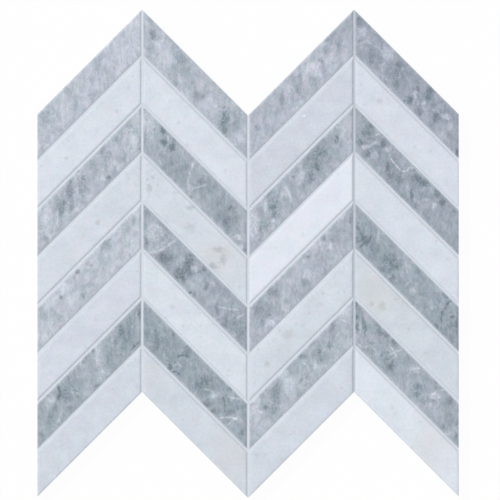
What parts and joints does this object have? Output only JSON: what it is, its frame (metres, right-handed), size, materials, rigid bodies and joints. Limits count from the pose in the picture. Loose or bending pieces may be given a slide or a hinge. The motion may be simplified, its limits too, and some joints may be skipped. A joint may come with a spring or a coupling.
{
  "type": "marble mosaic tile",
  "caption": "Flat mosaic tile sheet of polished marble strips in a chevron of alternating grey and white, grouted together on a woven backing mesh, for facing floors and walls.",
  "frame": {"origin": "under the middle of the sheet, on the surface that it rests on", "axes": "+X across the columns of strips, +Y up the columns towards the two points of the top edge, +Z out of the polished face"},
  "size_m": [0.3048, 0.3534, 0.01],
  "materials": {
    "grey_marble": "satin",
    "white_marble": "satin",
    "grout": "matte",
    "mesh_yarn": "matte"
  },
  "bodies": {
    "root": {"grey_strip_column_1_row_1": "grey_marble", "white_strip_column_1_row_2": "white_marble", "grey_strip_column_1_row_3": "grey_marble", "white_strip_column_1_row_4": "white_marble", "grey_strip_column_1_row_5": "grey_marble", "white_strip_column_1_row_6": "white_marble", "grey_strip_column_1_row_7": "grey_marble", "white_strip_column_1_row_8": "white_marble", "grey_strip_column_2_row_1": "grey_marble", "white_strip_column_2_row_2": "white_marble", "grey_strip_column_2_row_3": "grey_marble", "white_strip_column_2_row_4": "white_marble", "grey_strip_column_2_row_5": "grey_marble", "white_strip_column_2_row_6": "white_marble", "grey_strip_column_2_row_7": "grey_marble", "white_strip_column_2_row_8": "white_marble", "grey_strip_column_3_row_1": "grey_marble", "white_strip_column_3_row_2": "white_marble", "grey_strip_column_3_row_3": "grey_marble", "white_strip_column_3_row_4": "white_marble", "grey_strip_column_3_row_5": "grey_marble", "white_strip_column_3_row_6": "white_marble", "grey_strip_column_3_row_7": "grey_marble", "white_strip_column_3_row_8": "white_marble", "grey_strip_column_4_row_1": "grey_marble", "white_strip_column_4_row_2": "white_marble", "grey_strip_column_4_row_3": "grey_marble", "white_strip_column_4_row_4": "white_marble", "grey_strip_column_4_row_5": "grey_marble", "white_strip_column_4_row_6": "white_marble", "grey_strip_column_4_row_7": "grey_marble", "white_strip_column_4_row_8": "white_marble", "grout": "grout", "mesh_lengthwise_yarns": "mesh_yarn", "mesh_crosswise_yarns": "mesh_yarn"}
  },
  "joints": []
}
